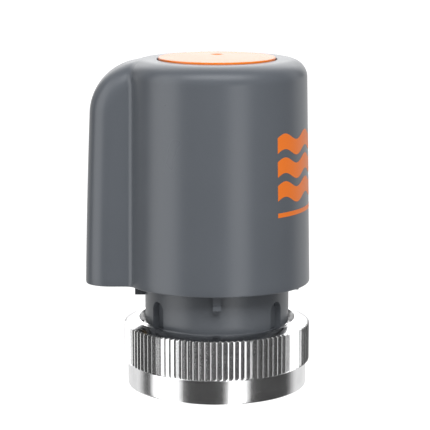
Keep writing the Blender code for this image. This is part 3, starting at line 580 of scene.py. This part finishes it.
def neck_lug(name, turn, bottom, top, mat):
    """A rib under the shell with a foot that stands out a little, extruded from its upright section."""
    section = [(LUG_INNER_R, bottom), (LUG_R, bottom), (LUG_R, LUG_STEP)]
    section += [(LUG_STEM_R, LUG_STEP + LUG_STEP_RISE), (LUG_STEM_R, top), (LUG_INNER_R, top)]
    bm = bmesh.new()
    near = bm.faces.new([bm.verts.new((r, -LUG_WIDTH / 2, z)) for r, z in section])
    pulled = bmesh.ops.extrude_face_region(bm, geom=[near])["geom"]
    moved = [item for item in pulled if isinstance(item, bmesh.types.BMVert)]
    bmesh.ops.translate(bm, vec=(0, LUG_WIDTH, 0), verts=moved)
    bmesh.ops.recalc_face_normals(bm, faces=bm.faces)
    bevel_edges(bm, LUG_EDGE, 2)
    bmesh.ops.rotate(bm, cent=(0, 0, 0), matrix=Matrix.Rotation(turn, 3, "Z"), verts=bm.verts)
    mesh = filled_mesh(name, bm)
    smooth(mesh)
    obj = new_object(name, mesh, "housing")
    obj.data.materials.append(mat)


def base_profile(plate_low):
    """(radius, height) points of the base housing, from the plate's top round the outside and back."""
    low = BASE_LOW.z
    rows = [(PLATE_R, BASE_HIGH.z), (PLATE_R, plate_low), (NECK_R, plate_low)]
    neck_low = NECK_FOOT + NECK_FOOT_EDGE
    rows += [(NECK_R, z) for z in np.linspace(plate_low - NECK_TOP_GAP, neck_low, NECK_ROWS)]
    rows += arc((NECK_R - NECK_FOOT_EDGE, neck_low), NECK_FOOT_EDGE, -8, -90, 6)
    rows += [(SPIGOT_R, NECK_FOOT), (SPIGOT_R, GROOVE_TOP), (GROOVE_R, GROOVE_TOP)]
    rows += [(GROOVE_R, GROOVE_LOW), (SPIGOT_R, GROOVE_LOW)]
    rows += [(SPIGOT_R, low + SPIGOT_EDGE), (SPIGOT_R - SPIGOT_EDGE, low)]
    rows += [(SPIGOT_BORE_R + SPIGOT_EDGE, low), (SPIGOT_BORE_R, low + SPIGOT_EDGE)]
    rows += [(SPIGOT_BORE_R, WEB_LOW), (GUIDE_R, WEB_LOW), (GUIDE_R, GUIDE_LOW + SPIGOT_EDGE)]
    rows += [(GUIDE_R - SPIGOT_EDGE, GUIDE_LOW), (GUIDE_HOLE_R, GUIDE_LOW), (GUIDE_HOLE_R, BUSH_SHELF)]
    rows += [(BUSH_R, BUSH_SHELF), (BUSH_R, GUIDE_TOP), (GUIDE_R, GUIDE_TOP)]
    rows += [(GUIDE_R, WEB_TOP), (SPIGOT_R, WEB_TOP), (SPIGOT_R, BASE_HIGH.z)]
    return rows


def fin_floor(plate_low, mat):
    """The plate's tongue under the fin, with the opening for the cable socket."""
    low = Vector((FIN_FLOOR_X[0], -FIN_FLOOR_HALF, plate_low))
    high = Vector((FIN_FLOOR_X[1], FIN_FLOOR_HALF, BASE_HIGH.z))
    bm = box_bmesh((low + high) / 2, high - low)
    bevel_edges(bm, FIN_FLOOR_EDGE, 3, profile=0.5)
    mesh = filled_mesh("fin_floor", bm)
    smooth(mesh)
    obj = new_object("fin_floor", mesh, "housing")
    size = SOCKET_HIGH - SOCKET_LOW + 2 * SOCKET_GAP * Vector((1, 1, 0))
    size.z = SOCKET_CUT
    cut_away(obj, filled_mesh("socket_tool", box_bmesh((SOCKET_LOW + SOCKET_HIGH) / 2, size)))
    obj.data.materials.clear()
    obj.data.materials.append(mat)


def base_housing(mat):
    """Neck with its slots, lugs and rounded foot, spigot, guide web and the plate inside the shell."""
    theta = np.linspace(0, 2 * math.pi, NECK_COLUMNS, endpoint=False)
    plate_low = BASE_HIGH.z - PLATE_THICK
    rings = []
    for r, z in base_profile(plate_low):
        height = np.full(NECK_COLUMNS, z)
        radius = np.full(NECK_COLUMNS, r)
        if NECK_R - NECK_FOOT_EDGE < r <= NECK_R and z < plate_low:
            radius = radius - slot_depth(theta, height)
        rings.append(np.stack([radius * np.cos(theta), radius * np.sin(theta), height], axis=1))
    mesh = ring_mesh("neck", rings)
    smooth(mesh, 50)
    obj = new_object("neck", mesh, "housing")
    obj.data.materials.append(mat)
    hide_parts("base_housing")
    for i, bottom in enumerate(LUG_BOTTOMS):
        neck_lug(f"neck_lug_{i + 1}", i * math.pi / 2, bottom, plate_low + LUG_SUNK, mat)
    fin_floor(plate_low, mat)


# ---------------------------------------------------------------- union nut

def thread_rings(ring, theta):
    """Rings of the bore whose radius follows the thread's V, running out at both ends."""
    start = NUT_LOW.z + THREAD_LEAD_IN
    end = LIP_LOW - THREAD_STOP
    steps = int((end - start) / THREAD_PITCH * THREAD_STEPS)
    rings = []
    for i in range(steps + 1):
        z = start + (end - start) * i / steps
        phase = np.mod(z / THREAD_PITCH - theta / (2 * math.pi), 1.0)
        wave = np.clip(np.abs(phase - 0.5) * THREAD_V[0] - THREAD_V[1], 0, 1)
        fade = min(1.0, (z - start) / THREAD_FADE, (end - z) / THREAD_FADE)
        rings.append(ring(THREAD_R + THREAD_DEPTH * wave * fade, z))
    return rings


def union_nut(mat, top_mat):
    """Nut with a V-cut knurl, a plain skirt, a sloped top, its inner lip and the M30 x 1.5 thread."""
    phases = len(KNURL_PHASES)
    count = KNURL_TEETH * phases
    share = (np.arange(count) // phases + np.tile(KNURL_PHASES, KNURL_TEETH)) / KNURL_TEETH
    theta = 2 * math.pi * share
    tooth = np.tile(KNURL_HEIGHTS, KNURL_TEETH)
    rim = NUT_HIGH.z + RIM_RISE
    low = NUT_LOW.z
    edge = NUT_EDGE

    def ring(radius, z):
        radius = np.broadcast_to(radius, (count,))
        height = np.broadcast_to(z, (count,))
        return np.stack([radius * np.cos(theta), radius * np.sin(theta), height], axis=1)

    def slope_z(radius):
        return rim - RIM_SLOPE * (radius - RIM_OUTER_R)

    knurl = KNURL_ROOT_R + (NUT_HIGH.x - KNURL_ROOT_R) * tooth
    knurl_top = slope_z(knurl)
    knurl_low = KNURL_LOW[1] + (KNURL_LOW[0] - KNURL_LOW[1]) * tooth
    under = KNURL_LOW[1]

    # Pairs of rings close to an edge keep the shading flat on the long faces beside it.
    inward, down = COUNTERSINK
    rings = [ring(RIM_R - inward, LIP_TOP), ring(RIM_R - inward, rim - down - edge)]
    for part in (1, 0.97, 0.03, 0):
        rings.append(ring(RIM_R - inward * part, rim - down * part))
    rings.append(ring(RIM_R + edge, rim))
    rings.append(ring(RIM_OUTER_R - RIM_EDGE, rim))
    for radius in (RIM_OUTER_R + RIM_EDGE, KNURL_ROOT_R - edge, knurl - 0.3 * edge):
        rings.append(ring(radius, slope_z(radius)))
    for part in (0, 0.03, 0.5, 0.97, 1):
        rings.append(ring(knurl, (knurl_top - edge) * (1 - part) + (knurl_low + edge) * part))
    rings.append(ring(knurl - 0.3 * edge, knurl_low))
    rings.append(ring(SKIRT_R + edge, under))
    for z in (under - edge, under - 3 * edge, low + 1.2 * MM, low + 0.3 * MM):
        rings.append(ring(SKIRT_R, z))
    for r, z in arc((SKIRT_R - SKIRT_EDGE, low + SKIRT_EDGE), SKIRT_EDGE, -20, -90, 3):
        rings.append(ring(r, z))
    rings.append(ring(THREAD_R + THREAD_LEAD_IN, low))
    rings += thread_rings(ring, theta)
    rings += [ring(THREAD_R, LIP_LOW), ring(LIP_R + LIP_EDGE, LIP_LOW), ring(LIP_R, LIP_LOW + LIP_EDGE)]
    rings += [ring(LIP_R, LIP_TOP - LIP_EDGE), ring(LIP_R + LIP_EDGE, LIP_TOP)]
    mesh = ring_mesh("union_nut_skin", rings)
    smooth(mesh, 55)
    obj = new_object("union_nut_skin", mesh, "union_nut")
    obj.data.materials.append(mat)
    obj.data.materials.append(top_mat)
    for face in mesh.polygons:
        face.material_index = int(face.normal.z > FACED)
    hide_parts("union_nut")


# ---------------------------------------------------------------- print on the shell

def wall_point(angle, z, lift):
    """A point above the shell's round wall."""
    radius = wall_radius(z) + lift
    return (radius * math.cos(angle), radius * math.sin(angle), z)


def printed_band(name, low, high, mat):
    """A thin printed strip on the round wall. low and high give its edges' heights for a share along it."""
    inner = []
    outer = []
    for i in range(MARK_COLUMNS + 1):
        share = i / MARK_COLUMNS
        angle = math.radians(MARK_HALF_ANGLE * (2 * share - 1))
        for z in (low(share), high(share)):
            inner.append(wall_point(angle, z, INK_LIFT[0]))
            outer.append(wall_point(angle, z, INK_LIFT[1]))
    half = len(inner)
    faces = []
    for i in range(MARK_COLUMNS):
        a = 2 * i
        faces.append((a, a + 1, a + 3, a + 2))
        faces.append((half + a, half + a + 2, half + a + 3, half + a + 1))
        faces.append((a, a + 2, half + a + 2, half + a))
        faces.append((a + 1, half + a + 1, half + a + 3, a + 3))
    last = 2 * MARK_COLUMNS
    faces.append((0, half, half + 1, 1))
    faces.append((last, last + 1, half + last + 1, half + last))
    mesh = outward_mesh(name, inner + outer, faces)
    smooth(mesh)
    obj = new_object(name, mesh, "housing")
    obj.data.materials.append(mat)


def wave_edge(level):
    """Height of a wave's edge for a share along the mark."""
    return lambda share: level + WAVE_SWING * math.sin(share * 2 * math.pi * WAVE_PERIODS)


def printed_mark(mat):
    """A plain generic mark: three waves over a thin rule, centred on +X."""
    for number in range(WAVE_COUNT):
        level = MARK_MIDDLE + (number - 1) * WAVE_PITCH
        low = wave_edge(level - WAVE_THICK / 2)
        high = wave_edge(level + WAVE_THICK / 2)
        printed_band(f"printed_wave_{number + 1}", low, high, mat)
    printed_band(
        "printed_rule", lambda share: RULE_Z - RULE_THICK / 2, lambda share: RULE_Z + RULE_THICK / 2, mat)


# ---------------------------------------------------------------- finishes of the CAD nodes

def finish_cad_nodes(finishes):
    """Give every CAD node that stays a worked material for its slot."""
    for entry in frame["record"]["subparts"]:
        node = frame["nodes"][entry["node"]]
        mat = finishes[entry["material_slot"]]
        node.data.materials.clear()
        node.data.materials.append(mat)
        for polygon in node.data.polygons:
            polygon.material_index = 0


# ---------------------------------------------------------------- light, floor and camera

def world():
    """White studio. Mirrors see bright panels and a dark front; matt surfaces see a smooth gradient."""
    scene_world = bpy.data.worlds.new("studio")
    scene_world.use_nodes = True
    bpy.context.scene.world = scene_world
    tree = scene_world.node_tree
    nodes = Nodes(tree)
    background = tree.nodes["Background"]
    direction = nodes.add("ShaderNodeTexCoord").outputs["Generated"]
    split = nodes.add("ShaderNodeSeparateXYZ", {0: direction}).outputs
    flat = nodes.add("ShaderNodeCombineXYZ", {0: split[0], 1: split[1], 2: 0.0}).outputs[0]
    unit = nodes.add("ShaderNodeVectorMath", {0: flat}, operation="NORMALIZE").outputs[0]

    def total(*levels):
        value = levels[0]
        for level in levels[1:]:
            value = nodes.math("ADD", value, level)
        return value

    def times(a, b):
        return nodes.math("MULTIPLY", a, b)

    def strip(azimuth, half_width, softness):
        """1 inside an upright strip of directions; azimuth 0 is the camera's side, positive towards +X."""
        a = math.radians(azimuth)
        toward = (math.sin(a), -math.cos(a), 0.0)
        product = nodes.add("ShaderNodeVectorMath", {0: unit, 1: toward}, operation="DOT_PRODUCT")
        outer = math.cos(math.radians(half_width + softness))
        inner = math.cos(math.radians(half_width - softness))
        return nodes.remap(product.outputs["Value"], outer, inner, 0.0, 1.0)

    arch = times(nodes.math("ARCTAN2", split[2], times(split[1], -1.0)), 180 / math.pi)

    def across(start, full, fade, end):
        """A panel overhead that runs from side to side; 0 is the camera's horizon, 180 the one behind."""
        return times(nodes.remap(arch, start, full, 0.0, 1.0), nodes.remap(arch, fade, end, 1.0, 0.0))

    back_wall = times(strip(azimuth=180, half_width=67, softness=11), BACK_WALL)
    left_strip = times(strip(azimuth=-70, half_width=19.5, softness=8), STRIP_LEVEL)
    right_strip = times(strip(azimuth=27, half_width=11, softness=6), STRIP_LEVEL)
    low_side = total(back_wall, left_strip, right_strip, DARK)
    beside = nodes.math("ABSOLUTE", split[0])
    middle = nodes.remap(beside, 0.37, 0.77, 1.0, 0.0)
    front = times(times(across(start=30, full=52, fade=57, end=79), middle), FRONT_PANEL)
    overhead = times(nodes.remap(arch, 84, 134, 0.0, ROOF_PANEL), middle)
    toward_back = nodes.remap(arch, 142, 174, 0.0, -0.85)
    back_flanks = times(nodes.remap(arch, 150, 166, 0.0, -0.5), nodes.remap(beside, 0.09, 0.17, 0.0, 1.0))
    ends = nodes.remap(beside, 0.42, 0.8, 0.15, 0.4)
    high_side = total(front, overhead, toward_back, times(back_flanks, middle), ends)
    above = nodes.remap(split[2], -0.02, 0.06, 0.0, 1.0)
    upward = times(above, nodes.remap(beside, 0.55, 0.85, 1.0, 0.0))
    mirrored = nodes.add("ShaderNodeMix", {0: upward, 2: low_side, 3: high_side}).outputs[0]
    matt = nodes.remap(split[1], 1.0, -1.0, MATT_BACK, MATT_FRONT, "LINEAR")
    path = nodes.add("ShaderNodeLightPath").outputs
    seen = nodes.add("ShaderNodeMix", {0: path["Is Camera Ray"], 2: matt, 3: 1.0}).outputs[0]
    value = nodes.add("ShaderNodeMix", {0: path["Is Glossy Ray"], 2: seen, 3: mirrored}).outputs[0]
    tree.links.new(value, background.inputs["Strength"])
    scene_world.cycles.sampling_method = "NONE"
    background.inputs["Color"].default_value = (1, 1, 1, 1)


def floor():
    """White paper that glows a little, so that shadows stay faint; the object doesn't see it."""
    bm = bmesh.new()
    bmesh.ops.create_grid(bm, x_segments=1, y_segments=1, size=FLOOR_HALF)
    mesh = filled_mesh("floor", bm)
    mat = bpy.data.materials.new("floor_paper")
    mat.use_nodes = True
    shader = mat.node_tree.nodes["Principled BSDF"]
    shader.inputs["Base Color"].default_value = (PAPER_TONE, PAPER_TONE, PAPER_TONE, 1)
    shader.inputs["Roughness"].default_value = 0.9
    shader.inputs["Emission Color"].default_value = (1, 1, 1, 1)
    shader.inputs["Emission Strength"].default_value = PAPER_GLOW
    mesh.materials.append(mat)
    obj = bpy.data.objects.new("floor", mesh)
    obj.location.z = NUT_LOW.z
    obj.visible_glossy = False
    obj.visible_diffuse = False
    bpy.context.scene.collection.objects.link(obj)


def area_light(name, azimuth, elevation, distance, size, power):
    """A square soft light that faces the object; azimuth 0 is the camera's side, positive towards +X."""
    light = bpy.data.lights.new(name, "AREA")
    light.size = size
    light.energy = power
    obj = bpy.data.objects.new(name, light)
    a, e = math.radians(azimuth), math.radians(elevation)
    toward = Vector((math.sin(a) * math.cos(e), -math.cos(a) * math.cos(e), math.sin(e)))
    obj.location = toward * distance + Vector((0, 0, LIGHT_AIM_Z))
    obj.rotation_mode = "QUATERNION"
    obj.rotation_quaternion = toward.to_track_quat("Z", "Y")
    obj.visible_glossy = False
    bpy.context.scene.collection.objects.link(obj)


def camera():
    """The camera stands a little left of the spindle and looks down at ten and a half degrees."""
    tilt = math.radians(CAMERA_TILT)
    data = bpy.data.cameras.new("camera")
    data.sensor_width = SENSOR
    data.lens = LENS
    data.clip_start = 0.01
    data.clip_end = 20.0
    obj = bpy.data.objects.new("camera", data)
    obj.location = Vector(CAMERA_TARGET) + Vector((0, -math.cos(tilt), math.sin(tilt))) * CAMERA_DISTANCE
    obj.rotation_euler = (math.pi / 2 - tilt, 0, 0)
    bpy.context.scene.collection.objects.link(obj)
    bpy.context.scene.camera = obj


# ---------------------------------------------------------------- build

grey = moulded_plastic("grey_plastic_fine", (0.107, 0.118, 0.134), 0.29, grain=0.004, spread=0.03)
grey_neck = moulded_plastic("grey_plastic_neck", (0.112, 0.122, 0.136), 0.34, grain=0.007)
orange = moulded_plastic("orange_plastic_fine", (0.86, 0.20, 0.015), 0.24, grain=0.004, spread=0.02)
ink = moulded_plastic("orange_ink", (0.84, 0.19, 0.018), 0.4, grain=0.006, spread=0.02)
nickel = machined_metal("nickel_fine", (0.86, 0.86, 0.865), 0.15, lines=0.9, fineness=26.0, pits=0.3)
nickel_top = machined_metal("nickel_faced", (0.86, 0.86, 0.865), 0.17, lines=0.15)
finishes = {
    "grey_plastic": grey,
    "orange_plastic": orange,
    "black_plastic": moulded_plastic("black_plastic_fine", (0.018, 0.018, 0.02), 0.48),
    "white_plastic": moulded_plastic("white_plastic_fine", (0.76, 0.75, 0.70), 0.38, grain=0.01, spread=0.03),
    "nickel": nickel,
    "steel": machined_metal("steel_fine", (0.56, 0.56, 0.57), 0.3, lines=1.0),
    "brass": machined_metal("brass_fine", (0.78, 0.56, 0.26), 0.28, lines=0.8),
    "rubber": moulded_plastic("rubber_fine", (0.022, 0.022, 0.022), 0.68, grain=0.03, specular=0.35),
    "copper": machined_metal("copper_fine", (0.78, 0.33, 0.16), 0.32, lines=1.2),
    "board_green": moulded_plastic("board_green_fine", (0.015, 0.15, 0.055), 0.3, grain=0.015),
    "lead_sheath": moulded_plastic("lead_sheath_fine", (0.03, 0.03, 0.03), 0.6),
}
finish_cad_nodes(finishes)
housing_shell(grey)
indicator_disc(orange)
base_housing(grey_neck)
union_nut(nickel, nickel_top)
printed_mark(ink)
world()
floor()
area_light("key_light", azimuth=10, elevation=45, distance=0.6, size=0.26, power=2.8)
camera()
bpy.context.scene.view_settings.view_transform = "Standard"
